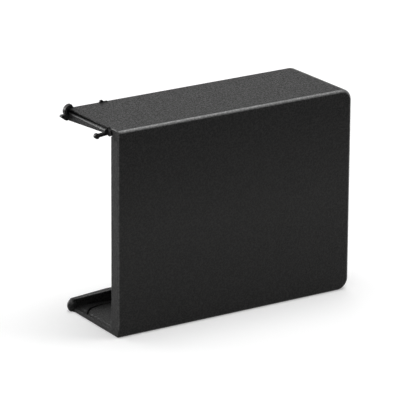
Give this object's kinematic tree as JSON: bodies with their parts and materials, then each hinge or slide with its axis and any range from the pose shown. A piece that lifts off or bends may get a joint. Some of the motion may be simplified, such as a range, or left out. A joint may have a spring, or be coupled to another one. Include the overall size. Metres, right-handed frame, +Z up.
{
  "type": "profile end cap",
  "caption": "Moulded plastic end cap for a rectangular profile: a shallow box open at one end and at the rear, with a flared rear lip and small clip hooks.",
  "frame": {"origin": "middle of the base, under the front wall and skin: half-way along the cap and half-way between the front face and the rear rim", "axes": "+X along the cap from its open end to its closed end, +Y from the front wall to the rear, +Z up from the base"},
  "size_m": [0.0713, 0.0238, 0.0541],
  "materials": {
    "body": "fine matte grain, black"
  },
  "bodies": {
    "root": {"end_cap": "body"}
  },
  "joints": []
}
